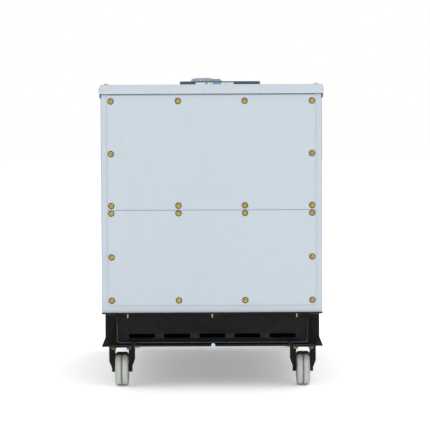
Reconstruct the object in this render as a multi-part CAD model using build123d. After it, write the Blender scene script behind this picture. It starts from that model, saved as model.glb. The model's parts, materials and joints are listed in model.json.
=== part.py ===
from build123d import *
import math
import os

os.makedirs("parts", exist_ok=True)

# Engine driven welder, millimetres, +Z up, origin on the ground under the middle.
# -Y is the plain screwed-on end, +Y the control end, +X right seen from the plain end.

# driving dimensions
HALF_W = 321.0          # half width of the housing
HALF_L = 560.0          # half length over the base flange
LID_X = 325.0           # half width over the lid's side flanges
BASE_Z0, BASE_Z1 = 113.0, 212.0   # base frame bottom and deck top
HOUSE_Z1 = 846.0        # top of the housing, underside of the lid
LID_Z1 = 874.0          # top of the lid
PANEL_X = 302.0         # half width of the end panels
PANEL_Z = (233.0, 510.0, 843.0)   # lower edge, seam, upper edge
SCREW_X = (-291.5, -96.5, 96.5, 291.5)
SCREW_ROWS = (247.5, 501.0, 523.0, 826.0)
SCREW_MID = (373.5, 673.5)        # outer columns only
SCREW_HEAD_R = 9.0
SLOT_X = (-205.0, -102.5, 0.0, 102.5, 205.0)
SLOT_L, SLOT_H, SLOT_Z = 77.0, 12.5, 143.0
WHEEL_R, WHEEL_W, WHEEL_X = 50.0, 38.0, 266.0
AXLE_Z = 40.0           # heights are drawn from a datum 10 mm above the ground
LIFT = 10.0             # and every piece is lifted by this on export
CAST_Y = 485.0          # caster plate centre, both ends
TRAIL = 32.0            # swivel caster trail
BOLT_X, BOLT_Y = 22.5, 37.5       # caster plate bolt half spacings
CRANK_Z = 420.0         # engine and generator shaft height
CAP_X, CAP_Y, CAP_R = -14.0, -330.0, 47.0
DOOR_Y0, DOOR_Y1 = -100.0, 522.0
HINGE_X, HINGE_Y = 328.0, 527.0   # side door hinge axis
CLEAR = 0.05            # running clearance, radial


def B(x0, x1, y0, y1, z0, z1):
    return Pos((x0 + x1) / 2, (y0 + y1) / 2, (z0 + z1) / 2) * Box(x1 - x0, y1 - y0, z1 - z0)


def CZ(r, x, y, z0, z1):
    return Pos(x, y, (z0 + z1) / 2) * Cylinder(r, z1 - z0)


def CY(r, x, z, y0, y1):
    return Pos(x, (y0 + y1) / 2, z) * Rot(90, 0, 0) * Cylinder(r, y1 - y0)


def CX(r, y, z, x0, x1):
    return Pos((x0 + x1) / 2, y, z) * Rot(0, 90, 0) * Cylinder(r, x1 - x0)


def PXZ(pts, y0, y1):
    """prism of an XZ outline between y0 and y1"""
    f = Plane.XZ.offset(-y0) * make_face(Polyline(*[(x, z) for x, z in pts], close=True))
    return extrude(f, amount=y1 - y0, dir=(0, 1, 0))


def PYZ(pts, x0, x1):
    """prism of a YZ outline between x0 and x1"""
    f = Plane.YZ.offset(x0) * make_face(Polyline(*[(y, z) for y, z in pts], close=True))
    return extrude(f, amount=x1 - x0, dir=(1, 0, 0))


def PXY(pts, z0, z1):
    f = Plane.XY.offset(z0) * make_face(Polyline(*pts, close=True))
    return extrude(f, amount=z1 - z0, dir=(0, 0, 1))


def HEXZ(r, x, y, z0, z1):
    return PXY([(x + r * math.cos(a * math.pi / 3), y + r * math.sin(a * math.pi / 3)) for a in range(6)], z0, z1)


def out(name, *solids):
    parts = []
    for s in solids:
        if isinstance(s, (list, tuple)):
            parts += list(s)
        else:
            parts.append(s)
    flat = []
    for p in parts:
        flat += list(p.solids())
    flat = [Pos(0, 0, LIFT) * p for p in flat]
    obj = Compound(children=flat) if len(flat) > 1 else flat[0]
    export_step(obj, "parts/%s.step" % name)


def fuse(first, *rest):
    r = first
    for s in rest:
        r = r + s
    return r


def cut(body, tools):
    for t in tools:
        body = body - t
    return body


# ---------------------------------------------------------------- base
deck = B(-HALF_W, HALF_W, -HALF_L, HALF_L, 208, BASE_Z1)
deck = fillet(deck.edges().filter_by(Axis.Z), 6)
out("base_deck", deck)


def base_end(s):
    """one end of the base: recessed slotted web, posts, outward lip and gussets"""
    y = lambda v: s * v
    yy = lambda a, b: (min(s * a, s * b), max(s * a, s * b))
    web = B(-279, 279, *yy(541, 545), 113, 208)
    for x in SLOT_X:
        slot = Pos(x, s * 543, SLOT_Z) * Box(SLOT_L, 12, SLOT_H)
        slot = fillet(slot.edges().filter_by(Axis.Y), 5)
        web = web - slot
    g = web + B(-262, 262, *yy(532.8, 541.2), 130, 132.2) + B(-262, 262, *yy(532.8, 541.2), 153.8, 156)
    g = g + B(-262, 262, *yy(532.8, 534.8), 130, 156)
    for t in (-1, 1):
        g = g + B(*sorted((t * 279, t * 311.0)), *yy(500, 556), 113, 208)
        g = g + PXZ([(t * 310.5, 142), (t * 320.5, 117), (t * 320.5, 113), (t * 300, 113), (t * 300, 142)], *yy(546, 557))
        g = g + B(*sorted((t * 220.5, t * 233.5)), *yy(540.9, 559), 113, 128)
    g = g + PYZ([(s * 541, 113), (s * 558, 113), (s * 558, 116.5), (s * 548, 123.5), (s * 541, 123.5)], -302, 302)
    return g


for s, n in ((-1, "base_end_rear"), (1, "base_end_front")):
    g = base_end(s)
    out(n, g)

rails = []
for t in (-1, 1):
    r = B(*sorted((t * 220.5, t * 233.5)), -540.6, 540.6, 117, 207.9)
    r = r + B(*sorted((t * 300, t * 304)), -499.6, 499.6, 113, 207.9)
    r = r + B(*sorted((t * 300, t * 318)), -499.6, 499.6, 113, 116.5)
    for s in (-1, 1):
        r = r + B(*sorted((t * 220.5, t * 278.6)), *sorted((s * 425, s * 540.6)), 113, 117)
        r = r + B(*sorted((t * 270, t * 304)), *sorted((s * 425, s * 499.6)), 113, 117)
    rails.append(r)
for y in (-400, -300, 300, 400):
    rails[0] = rails[0] + B(-220.6, 220.6, y - 3, y + 3, 125, 207.9)
rails = rails[0] + rails[1]
for s in (-1, 1):
    rails = rails - B(-236, 236, *sorted((s * 532.4, s * 545)), 129.6, 156.4)
out("base_rails", rails)

# ---------------------------------------------------------------- casters
CAST = [(t * WHEEL_X, s * CAST_Y) for s in (-1, 1) for t in (-1, 1)]
bolts = []
for cx, cy in CAST:
    for bx in (-BOLT_X, BOLT_X):
        for by in (-BOLT_Y, BOLT_Y):
            x, y = cx + bx, cy + by
            bolts.append(fuse(CZ(4, x, y, 100.6, 113), HEXZ(7.4, x, y, 101.8, 108.6), CZ(8.2, x, y, 107.6, 109)))
out("caster_bolts", bolts)


def caster_plate(cx, cy):
    p = B(cx - 33, cx + 33, cy - 49, cy + 49, 109, 112.9)
    p = fillet(p.edges().filter_by(Axis.Z), 8)
    for bx in (-BOLT_X, BOLT_X):
        for by in (-BOLT_Y, BOLT_Y):
            p = p - CZ(4.4, cx + bx, cy + by, 100, 120)
    return p


def axle(cx, cy):
    a = CX(6, cy, AXLE_Z, cx - 30, cx + 30)
    for t in (-1, 1):
        a = a + CX(9.5, cy, AXLE_Z, *sorted((cx + t * 24.1, cx + t * 30)))
    return a


def rigid_leg(cx, cy, t):
    """pressed leg: cheek plate with front and back flanges that taper to the axle"""
    g = PXZ([(cx + t * 20.5, 106), (cx + t * 37, 106), (cx + t * 37, 66), (cx + t * 24.5, 33), (cx + t * 20.5, 33)], cy - 27, cy + 27)
    side = PYZ([(cy - 27, 107), (cy + 27, 107), (cy + 27, 44), (cy + 12, 26), (cy - 12, 26), (cy - 27, 44)], cx - 60, cx + 60)
    g = g & side
    g = g - B(*sorted((cx + t * 24, cx + t * 50)), cy - 24, cy + 24, 20, 103)
    return g - CX(6, cy, AXLE_Z, cx - 60, cx + 60)


rig = []
for cx, cy in CAST[:2]:
    g = B(cx - 37, cx + 37, cy - 27, cy + 27, 105, 109) + rigid_leg(cx, cy, -1) + rigid_leg(cx, cy, 1) + caster_plate(cx, cy)
    rig += [g, axle(cx, cy)]
out("rigid_casters", rig)


def wheel(cx, cy):
    """solid nylon wheel: crowned tread with a centre groove, dished sides, hub and bore"""
    h = WHEEL_W / 2
    pts = [(6 + CLEAR, -20), (14, -20), (15, -15), (34, -14), (38, -h + 1), (44, -h), (47.5, -h + 2), (WHEEL_R - 0.6, -h + 6),
           (WHEEL_R, -2.2), (48.8, 0), (WHEEL_R, 2.2), (WHEEL_R - 0.6, h - 6), (47.5, h - 2), (44, h), (38, h - 1), (34, 14),
           (15, 15), (14, 20), (6 + CLEAR, 20)]
    f = Plane.XZ * make_face(Polyline(*pts, close=True))
    w = revolve(f, Axis.Z)
    return Pos(cx, cy, AXLE_Z) * Rot(0, 90, 0) * w


def swivel_fork(cx, cy):
    wy = cy - TRAIL
    g = CZ(34, cx, cy, 101.6, 108.6)
    g = g + CZ(24, cx, cy, 100.2, 101.8)
    for t in (-1, 1):
        g = g + PYZ([(cy + 23, 101.8), (cy + 14, 84), (wy + 13, 32), (wy, 24), (wy - 12, 28), (wy - 22, 70), (wy - 52, 80), (wy - 52, 94),
                     (wy - 20, 99.2), (cy - 29, 99.2), (cy - 23, 101.8)], *sorted((cx + t * 20.5, cx + t * 24)))
    g = g - CZ(8 + CLEAR, cx, cy, 90, 112)
    g = g - CX(6, wy, AXLE_Z, cx - 60, cx + 60)
    return g - CX(3.0, wy - 44, 87, cx - 60, cx + 60)


for i, (cx, cy) in enumerate(CAST[2:]):
    side = "left" if cx < 0 else "right"
    wy = cy - TRAIL
    pin = CX(3.0, wy - 44, 87, cx - 27, cx + 27)
    out("swivel_fork_" + side, swivel_fork(cx, cy), axle(cx, wy), pin)
    out("wheel_front_" + side, wheel(cx, wy))
    ped = CX(6, wy - 44, 87, cx - 19.5, cx + 19.5)
    ped = ped + B(cx - 13, cx + 13, wy - 46, wy - 42, 88, 96) + B(cx - 17, cx + 17, wy - 74, wy - 46, 90.5, 95.5)
    ped = ped - CX(3.0 + CLEAR, wy - 44, 87, cx - 60, cx + 60)
    out("brake_pedal_" + side, ped)
for cx, cy in CAST[:2]:
    out("wheel_rear_" + ("left" if cx < 0 else "right"), wheel(cx, cy))
plates = []
for cx, cy in CAST[2:]:
    p = caster_plate(cx, cy) + CZ(8, cx, cy, 97.6, 110) + HEXZ(11, cx, cy, 97.0, 99.8)
    plates.append(p)
out("swivel_plates", plates)

# ---------------------------------------------------------------- enclosure frame
fr = []
for s in (-1, 1):
    for t in (-1, 1):
        p = B(*sorted((t * 281, t * 318.9)), *sorted((s * 524, s * 554)), BASE_Z1, 845.8)
        p = p - B(*sorted((t * 270, t * 315.9)), *sorted((s * 510, s * 551)), BASE_Z1 - 1, 850)
        fr.append(p)
rear_rails = [B(-280.9, 280.9, -554, -551, 212, 266), B(-280.9, 280.9, -554, -551, 486, 538), B(-280.9, 280.9, -554, -551, 806, 845.8)]
fr += rear_rails
fr += [B(-280.9, 280.9, 551, 554, 212, 231), B(-280.9, 280.9, 546.8, 550.6, 837, 845.8)]
for t in (-1, 1):
    fr.append(B(*sorted((t * 300, t * 318.9)), -523.9, 523.9, 822, 845.8) - B(*sorted((t * 290, t * 315.9)), -530, 530, 815, 842.8))
    fr.append(B(*sorted((t * 300, t * 318.9)), -523.9, 523.9, 212, 232) - B(*sorted((t * 290, t * 315.9)), -530, 530, 215, 240))
    fr.append(B(*sorted((t * 315.9, t * 318.9)), -128, -104, 232.1, 821.9))
holes = []
for x in SCREW_X:
    for z in SCREW_ROWS:
        holes.append(CY(3.1, x, z, -560, -540))
for x in (SCREW_X[0], SCREW_X[3]):
    for z in SCREW_MID:
        holes.append(CY(3.1, x, z, -560, -540))
new = []
for p in fr:
    bb = p.bounding_box()
    if bb.min.Y < -550:
        for x in SCREW_X:
            for z in SCREW_ROWS + SCREW_MID:
                if bb.min.X < x < bb.max.X and bb.min.Z < z < bb.max.Z and not (z in SCREW_MID and abs(x) < 200):
                    p = p - CY(3.1, x, z, -560, -545)
    new.append(p)
out("enclosure_frame", new)

# ---------------------------------------------------------------- plain end panels and screws
def end_panel(z0, z1, rows, mid):
    p = B(-PANEL_X, PANEL_X, -556.4, -554.05, z0, z1)
    p = fillet(p.edges().filter_by(Axis.Y), 3)
    for x in SCREW_X:
        for z in rows:
            p = p - CY(3.3, x, z, -560, -550)
    for x in (SCREW_X[0], SCREW_X[3]):
        p = p - CY(3.3, x, mid, -560, -550)
    return p


out("end_panel_lower", end_panel(PANEL_Z[0], PANEL_Z[1] - 0.8, SCREW_ROWS[:2], SCREW_MID[0]))
out("end_panel_upper", end_panel(PANEL_Z[1] + 0.8, PANEL_Z[2], SCREW_ROWS[2:], SCREW_MID[1]))


def screw_y(x, z, y0=-556.45):
    """dome head with a flange, seated on the panel, shank to the inside"""
    dome = Pos(x, y0, z) * Rot(90, 0, 0) * Cylinder(SCREW_HEAD_R, 0.9, align=(Align.CENTER, Align.CENTER, Align.MIN))
    prof = [(0, 0.8), (7.2, 0.8), (6.6, 2.0), (4.6, 3.0), (2.0, 3.4), (0, 3.5)]
    head = revolve(Plane.XZ * make_face(Polyline(*prof, close=True)), Axis.Z)
    g = dome + Pos(x, y0, z) * Rot(90, 0, 0) * head
    g = g + CY(3.0, x, z, y0 - 0.2, y0 + 9)
    g = g - (Pos(x, y0 - 3.2, z) * Box(7, 2.4, 1.3)) - (Pos(x, y0 - 3.2, z) * Box(1.3, 2.4, 7))
    return g


screws = [screw_y(x, z) for x in SCREW_X for z in SCREW_ROWS]
screws += [screw_y(x, z) for x in (SCREW_X[0], SCREW_X[3]) for z in SCREW_MID]


def screw_x(t, y, z):
    """side panel screw, head outward along t"""
    prof = [(0, 0), (9, 0), (9, 0.8), (7.2, 1.0), (6.6, 2.0), (4.6, 2.8), (0, 3.1)]
    h = revolve(Plane.XZ * make_face(Polyline(*prof, close=True)), Axis.Z)
    return Pos(t * 321.05, y, z) * Rot(0, t * 90, 0) * h


for t in (-1, 1):
    for y in (-360.0, -240.0, -118.0):
        for z in (228.0, 812.0):
            screws.append(screw_x(t, y, z))
    screws.append(screw_x(t, -118.0, 520.0))
under = []
for x in (-246.0, 0.0, 246.0):
    for s in (-1, 1):
        under.append(CZ(2.3, x, s * 551, 197, 207.95))
screws += under

# ---------------------------------------------------------------- roof
roof = B(-322.5, 322.5, -561, 561, 847, LID_Z1)
roof = fillet(roof.edges().filter_by(Axis.Y).group_by(Axis.Z)[-1], 3.5)
roof = roof - B(-320.5, 320.5, -558.6, 558.6, 840, LID_Z1 - 2.5)
for t in (-1, 1):
    roof = roof + B(*sorted((t * 320.6, t * LID_X)), -558.5, 558.5, 835, 866)
    roof = roof - B(*sorted((t * 310, t * 322.6)), -558.6, 558.6, 830, 864)
roof = roof - B(-69.5, 69.5, -59.5, 59.5, 860, 880)
roof = roof - CZ(42, CAP_X, CAP_Y, 860, 880) - CZ(38.5, 200, 400, 860, 880)
pan = B(-72, 72, -62, 62, 838, LID_Z1 - 2.5) - B(-69.5, 69.5, -59.5, 59.5, 840.5, 880)
for t in (-1, 1):
    pan = pan + B(*sorted((t * 54, t * 64)), 28, 52, 840, 871.5)
pan = pan - CX(8 + CLEAR, 40, 861, -66, 66)
out("roof_panel", roof, pan)

bail_path = FilletPolyline((-63, 40, 861), (-42, 40, 861), (-42, -34, 861), (42, -34, 861), (42, 40, 861), (63, 40, 861), radius=10)
bail = sweep(Plane(origin=bail_path @ 0, z_dir=bail_path % 0) * Circle(8), path=bail_path)
out("lifting_bail", bail)

rs = []
for t in (-1, 1):
    for y in (-546.0, -182.0, 182.0, 546.0):
        prof = [(0, 0), (9, 0), (9, 0.8), (7, 1.0), (6.2, 2.0), (4.0, 2.8), (0, 3.1)]
        h = revolve(Plane.XZ * make_face(Polyline(*prof, close=True)), Axis.Z)
        rs.append(Pos(t * 305, y, LID_Z1 + 0.02) * h)
screws += rs
out("panel_screws", screws)

tray = B(-94, 146, -392, -268, LID_Z1 + 0.05, 886)
tray = fillet(tray.edges().filter_by(Axis.Z), 22)
inner = B(-90.5, 142.5, -388.5, -271.5, LID_Z1 + 2.5, 890)
inner = fillet(inner.edges().filter_by(Axis.Z), 18.5)
tray = tray - inner
tray = tray - CZ(42, CAP_X, CAP_Y, 860, 890)
out("filler_tray", tray)

# ---------------------------------------------------------------- fuel tank and cap
tank = B(-262, 262, -538, -190, 716, 824)
tank = fillet(tank.edges(), 16)
tank = tank - fillet(B(-259, 259, -535, -193, 719, 821).edges(), 13)
tank = tank - CZ(40, CAP_X, CAP_Y, 800, 890)
neck = CZ(40, CAP_X, CAP_Y, 821, 885) + CZ(48, CAP_X, CAP_Y, 824.05, 827) - CZ(36, CAP_X, CAP_Y, 800, 890)
tank = tank + CZ(13, 150, -240, 704, 718) + B(-262, 262, -420, -400, 705, 716.5) + B(-262, 262, -320, -300, 705, 716.5)
for t in (-1, 1):
    for y in (-410, -310):
        tank = tank + B(*sorted((t * 255, t * 299.7)), y - 10, y + 10, 705, 709)
out("fuel_tank", tank, neck)
capp = [(0, 880.6), (35.5, 880.6), (35.5, 885.4), (44, 885.4), (44, 883.0), (CAP_R - 0.5, 883.0), (CAP_R, 884.0), (CAP_R, 891.0), (CAP_R - 2.5, 894.5), (CAP_R - 8, 896.2), (20, 898.0), (0, 898.4)]
cap = revolve(Plane.XZ * make_face(Polyline(*capp, close=True)), Axis.Z)
cap = Pos(CAP_X, CAP_Y, 0) * cap
for a in range(24):
    an = a * math.pi / 12
    cap = cap - CZ(2.0, CAP_X + (CAP_R + 1.0) * math.cos(an), CAP_Y + (CAP_R + 1.0) * math.sin(an), 880, 890.5)
out("fuel_cap", cap)

# ---------------------------------------------------------------- side panels and doors
def louvres(t, y0, y1, z0, n, pitch=22.0):
    add, rem = [], []
    for i in range(n):
        z = z0 + i * pitch
        add.append(PXZ([(t * 320.5, z + 15), (t * 329, z), (t * 327.2, z), (t * 320.5, z + 11.6)], y0, y1))
        for y in (y0, y1 - 1.8):
            add.append(PXZ([(t * 320.5, z + 15), (t * 329, z), (t * 320.5, z)], y, y + 1.8))
        rem.append(B(*sorted((t * 318, t * 321.6)), y0 + 2, y1 - 2, z + 1, z + 10))
    return add, rem


sp = []
for t in (-1, 1):
    p = B(*sorted((t * 319, t * 321)), -549, -106, 214, 834)
    for (a, b, z0, n) in ((-330, -150, 300, 9), (-330, -150, 570, 9)):
        add, rem = louvres(t, a, b, z0, n)
        for q in rem:
            p = p - q
        p = p.fuse(*add) if hasattr(p, "fuse") else fuse(p, *add)
    sp.append(p)
    sp.append(B(*sorted((t * 319, t * 321)), 523.5, 554, 214, 834))
out("side_panels", sp)

for t in (-1, 1):
    side = "left" if t < 0 else "right"
    d = B(*sorted((t * 319, t * 321)), DOOR_Y0, DOOR_Y1, 236, 832)
    d = d + B(*sorted((t * 313, t * 319)), DOOR_Y0, DOOR_Y0 + 2, 238, 820)
    d = d + B(*sorted((t * 307, t * 319)), DOOR_Y1 - 2, DOOR_Y1, 238, 820)
    d = d + B(*sorted((t * 309, t * 319)), DOOR_Y0 + 2, DOOR_Y1 - 2, 238, 240) + B(*sorted((t * 309, t * 319)), DOOR_Y0 + 2, DOOR_Y1 - 2, 818, 820)
    for (a, b, z0, n) in ((60, 220, 330, 8), (270, 430, 330, 8)):
        add, rem = louvres(t, a, b, z0, n)
        for q in rem:
            d = d - q
        d = d.fuse(*add) if hasattr(d, "fuse") else fuse(d, *add)
    d = d + CX(24, -55, 520, *sorted((t * 321, t * 324)))
    d = d - CX(8 + CLEAR, -55, 520, *sorted((t * 310, t * 330)))
    hx = t * HINGE_X
    for z in (300.0, 720.0):
        d = d + B(*sorted((t * 320.9, t * 323.4)), 474, 521.9, z - 11.6, z + 11.6)
        d = d + B(*sorted((t * 321.1, t * 329)), 519, 525.5, z - 11.6, z + 11.6)
        d = d + CZ(6, hx, 527, z - 11.6, z + 11.6)
        d = d - CZ(3.5 + CLEAR, hx, 527, z - 40, z + 40)
    out("door_" + side, d)
    lt = CX(8, -55, 520, *sorted((t * 306, t * 330))) + CX(17, -55, 520, *sorted((t * 324.4, t * 330)))
    bar = B(*sorted((t * 329, t * 341)), -62, -48, 478, 562)
    bar = fillet(bar.edges().filter_by(Axis.X), 6)
    lt = lt + bar + B(*sorted((t * 308, t * 311.6)), -65, -45, 458, 530)
    out("latch_" + side, lt)

leaves, pins = [], []
for t in (-1, 1):
    hx = t * HINGE_X
    for z in (300.0, 720.0):
        lf = B(*sorted((t * 321.05, t * 323.4)), 533.6, 553, z - 36, z + 36)
        for a, b in ((z - 36, z - 12), (z + 12, z + 36)):
            lf = lf + B(*sorted((t * 321.05, t * 329)), 528.5, 534, a, b) + CZ(6, hx, 527, a, b)
        lf = lf - CZ(3.5, hx, 527, z - 40, z + 40)
        leaves.append(lf)
        pins.append(fuse(CZ(3.5, hx, 527, z - 37, z + 37), CZ(5.2, hx, 527, z + 36.05, z + 39)))

# control cover hinge: axis along X at the top edge of the cover
CH_Y, CH_Z = 556.0, 840.5
for t in (-1, 1):
    for a, b in ((178, 189.6), (230.4, 242)):
        x0, x1 = sorted((t * a, t * b))
        k = B(x0, x1, 550.65, CH_Y, 836.5, 844.5) + CX(4.8, CH_Y, CH_Z, x0, x1)
        leaves.append(k - CX(2.5, CH_Y, CH_Z, x0 - 5, x1 + 5))
    pins.append(CX(2.5, CH_Y, CH_Z, *sorted((t * 177, t * 243))))
out("hinge_leaves", leaves)
out("hinge_pins", pins)

# ---------------------------------------------------------------- control end
cp = B(-279, 279, 497, 551, 233, 836) - B(-277, 277, 500, 560, 236, 833) + B(-277.5, 277.5, 498, 547, 512, 515)
KNOBS = {"current_knob": (-80, 630, 28), "arc_knob": (10, 630, 20), "mode_knob": (90, 630, 20)}
for x, z, r in KNOBS.values():
    cp = cp - CY(5 + CLEAR, x, z, 490, 502)
cp = cp - CY(4 + CLEAR, 190, 740, 490, 502) - CY(9 + CLEAR, 190, 620, 490, 502)
for x, z in ((-120, 320), (120, 320)):
    cp = cp - CY(14, x, z, 490, 502)
out("control_panel", cp)
for n, (x, z, r) in KNOBS.items():
    k = CY(r, x, z, 503, 508) + CY(r - 4, x, z, 506, 530) + CY(5, x, z, 486, 505)
    k = k + B(x - 1.5, x + 1.5, 529, 531.5, z + 2, z + r - 5)
    for i in range(12):
        a = i * math.pi / 6
        k = k - CY(1.6, x + (r - 3.4) * math.cos(a), z + (r - 3.4) * math.sin(a), 508.5, 532)
    out(n, k)
key = CY(4, 190, 740, 484, 512) + fillet(B(188.4, 191.6, 509, 532, 727, 753).edges().filter_by(Axis.X), 6)
out("ignition_key", key - CX(3, 525, 740, 180, 200))
es = CY(9, 190, 620, 488, 518)
es = es + Pos(190, 0, 620) * Rot(-90, 0, 0) * revolve(Plane.XZ * make_face(Polyline((0, 516), (19, 516), (20.5, 519), (20.5, 523), (18, 527), (10, 529.5), (0, 530), close=True)), Axis.Z)
out("estop_button", es)
ins = []
for x in (-180, -75):
    m = CY(40, x, 745, 500.05, 506) + CY(36, x, 745, 505, 514)
    ins.append(m - CY(33, x, 745, 510, 520) + B(x - 1, x + 1, 509.8, 511.4, 745, 772) + CY(3, x, 745, 509.8, 512))
ins.append(B(5, 75, 500.05, 508, 730, 765) - B(12, 68, 505, 510, 738, 757))
for x in (20, 60, 100):
    ins.append(CY(8, x, 790, 500.05, 505) + CY(6, x, 790, 504, 510))
ins.append(CY(17, 190, 740, 500.05, 506) - CY(4 + CLEAR, 190, 740, 490, 510))
ins.append(fillet(B(160, 220, 500.05, 508, 590, 650).edges().filter_by(Axis.Y), 6) - CY(9 + CLEAR, 190, 620, 490, 510))
bc = B(-232, -148, 500.05, 520, 575, 665) - B(-206, -174, 504, 521, 598, 642)
ins.append(bc - CX(3 + CLEAR, 513, 620, -212, -168))
out("panel_instruments", ins)
bl = CX(7.5, 513, 620, -205.6, -174.4) + CX(3, 513, 620, -211, -169) + B(-202, -178, 513, 537, 615, 625)
out("breaker_lever", bl)

cv = fillet(B(-300, 300, 554.3, 557, 518, 835.5).edges().filter_by(Axis.Y), 8)
cv = cv - B(-190, 190, 550, 560, 570, 790)
for t in (-1, 1):
    x0, x1 = sorted((t * 190, t * 230))
    cv = cv + B(x0, x1, 554.3, 557, 834, 841) + CX(4.8, CH_Y, CH_Z, x0, x1)
cv = cv - CX(2.5 + CLEAR, CH_Y, CH_Z, -300, 300)
cv = cv + fillet(B(-50, 50, 556.5, 560.8, 528, 544).edges().filter_by(Axis.Y), 5)
cv = cv - B(-60, 60, 556.0, 559.2, 524, 532)
out("control_cover", cv)
out("cover_window", B(-190, 190, 554.6, 556.6, 570, 790))

term = []
for x in (-120, 120):
    w = CY(32, x, 320, 500.05, 506) + CY(24, x, 320, 505, 534) + CY(13.9, x, 320, 488, 501)
    term.append(w - CY(6.6, x, 320, 504, 540) - CY(14, x, 320, 526, 540))
e = CY(5, 0, 275, 500.05, 528)
e = e + Pos(0, 500.05, 275) * Rot(-90, 0, 0) * HEXZ(10, 0, 0, 0, 8)
term.append(e)
out("output_terminals", term)
rec = []
RX = (-190.0, -90.0)
RH_Y, RH_Z = 531.0, 482.0
for i, x in enumerate(RX):
    b = fillet(B(x - 37, x + 37, 500.05, 528, 402, 476).edges().filter_by(Axis.Y), 6)
    b = b - CY(25, x, 438, 512, 530)
    for t in (-1, 1):
        b = b + B(*sorted((x + t * 26, x + t * 34)), 500.05, 535, 472, 486)
    b = b - CX(2, RH_Y, RH_Z, x - 36, x + 36)
    rec.append(b)
    rec.append(CX(2, RH_Y, RH_Z, x - 34, x + 34))
    lid = fillet(B(x - 35, x + 35, 528.5, 532, 404, 470).edges().filter_by(Axis.Y), 5)
    lid = lid + B(x - 24, x + 24, 528.5, 532, 465, 480) + CX(4.4, RH_Y, RH_Z, x - 25.5, x + 25.5) + B(x - 12, x + 12, 531, 536, 404, 408)
    out("receptacle_lid_" + "ab"[i], lid - CX(2 + CLEAR, RH_Y, RH_Z, x - 40, x + 40))
out("receptacles", rec)

# ---------------------------------------------------------------- engine
eb = B(-108, 108, -400, -84, 300, 520) + B(-96, 96, -390, -94, 262, 302)
for y in (-340, -130):
    eb = eb + B(-178, 178, y - 20, y + 20, 252, 264)
for y in range(-370, -90, 40):
    for t in (-1, 1):
        eb = eb + B(*sorted((t * 107, t * 114)), y - 4, y + 4, 310, 505)
eb = eb + B(-80, 80, -84, -40, 340, 500) + CX(30, -180, 470, 108, 150)
eb = eb - CY(20 + CLEAR, 0, CRANK_Z, -450, 0)
hd = []
for y in (-320.0, -160.0):
    c = CZ(56, 0, y, 520.1, 642)
    for k in range(13):
        c = c + CZ(72, 0, y, 526 + k * 9, 529 + k * 9)
    c = c + fillet(B(-74, 74, y - 70, y + 70, 642, 668).edges().filter_by(Axis.Z), 12) + fillet(B(-50, 50, y - 56, y + 56, 667, 697).edges().filter_by(Axis.Z), 14)
    hd.append(c)
out("cylinders_and_heads", hd)
sh = CY(152, 0, CRANK_Z, -512, -402) - CY(147, 0, CRANK_Z, -520, -407) - CY(24, 0, CRANK_Z, -420, -395)
sh = sh + CY(152, 0, CRANK_Z, -512, -508) - CY(120, 0, CRANK_Z, -520, -505)
for r in (95, 65, 35):
    sh = sh + (CY(r + 3, 0, CRANK_Z, -512, -508) - CY(r - 3, 0, CRANK_Z, -520, -500))
sh = sh + B(-3, 3, -512, -508, CRANK_Z - 122, CRANK_Z + 122) + B(-122, 122, -512, -508, CRANK_Z - 3, CRANK_Z + 3)
out("flywheel_shroud", sh)
ff = CY(112, 0, CRANK_Z, -440, -412) + CY(45, 0, CRANK_Z, -480, -438)
for i in range(16):
    ff = ff + Pos(0, -462, CRANK_Z) * Rot(0, i * 22.5, 0) * Pos(78, 0, 0) * Rot(0, 25, 0) * Box(66, 46, 4)
ff = ff - CY(20, 0, CRANK_Z, -520, -400)
out("flywheel_fan", ff)
cs = CY(20, 0, CRANK_Z, -495, 338)
out("crankshaft", cs)
out("generator_rotor", (CY(118, 0, CRANK_Z, 30, 250) + CY(60, 0, CRANK_Z, 12, 285)) - CY(20, 0, CRANK_Z, 0, 300))
st = CY(150, 0, CRANK_Z, -38, 300) - CY(122, 0, CRANK_Z, -10, 310) - CY(20 + CLEAR, 0, CRANK_Z, -50, 0)
for i in range(18):
    st = st + Pos(0, 140, CRANK_Z) * Rot(0, i * 20, 0) * Pos(151.5, 0, 0) * Box(8, 230, 5)
st = st + (B(-128, 128, 30, 250, 252, 300) - CY(149, 0, CRANK_Z, 20, 260)) + B(-60, 60, 80, 200, 560, 600)
bell = CY(148, 0, CRANK_Z, 300.1, 318) + CY(48, 0, CRANK_Z, 317, 332)
for i in range(8):
    bell = bell - (Pos(0, 310, CRANK_Z) * Rot(0, i * 45 + 22.5, 0) * Pos(98, 0, 0) * Box(44, 30, 34))
out("generator_stator", st, bell - CY(20 + CLEAR, 0, CRANK_Z, 290, 340))
ac = CY(52, -196, 646, -262, -84) + CY(55, -196, 646, -120, -104) + CX(16, -160, 655, -160, -74.1)
out("air_cleaner", ac)
sl = fillet(CY(58, 196, 610, -190, 330).edges(), 10) + CX(19, -160, 655, 74.1, 190) + CX(19, -320, 655, 74.1, 150)
sl = sl + CY(19, 150, 655, -320, -160) + Pos(150, -320, 655) * Sphere(19)
sl = sl + CY(24, 200, 610, 325, 400) + Pos(200, 400, 610) * Sphere(24) + CZ(24, 200, 400, 610, 878) - CZ(21, 200, 400, 700, 880)
for a, b in ((184, 189.6), (210.4, 216)):
    sl = sl + B(a, b, 415, 432.6, 868, 877) + B(a, b, 424.6, 432.6, 876, 882)
sl = sl - CX(2, 428.5, 878.4, 180, 220)
out("silencer", sl, CX(2, 428.5, 878.4, 184, 216))
rf = CZ(26, 200, 400, 878.4, 881) - B(170, 190.2, 418, 430, 870, 890) - B(209.8, 230, 418, 430, 870, 890)
rf = rf + B(190.2, 209.8, 415, 428.5, 878.4, 881) + CX(3.6, 428.5, 878.4, 190.2, 209.8)
out("rain_flap", rf - CX(2 + CLEAR, 428.5, 878.4, 180, 220))
sm = CY(38, -158, 380, -380, -230) + CY(22, -158, 380, -402, -378) + CY(20, -150, 432, -370, -260) + B(-130, -114.1, -330, -290, 350, 400)
out("starter_motor", sm)
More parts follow.
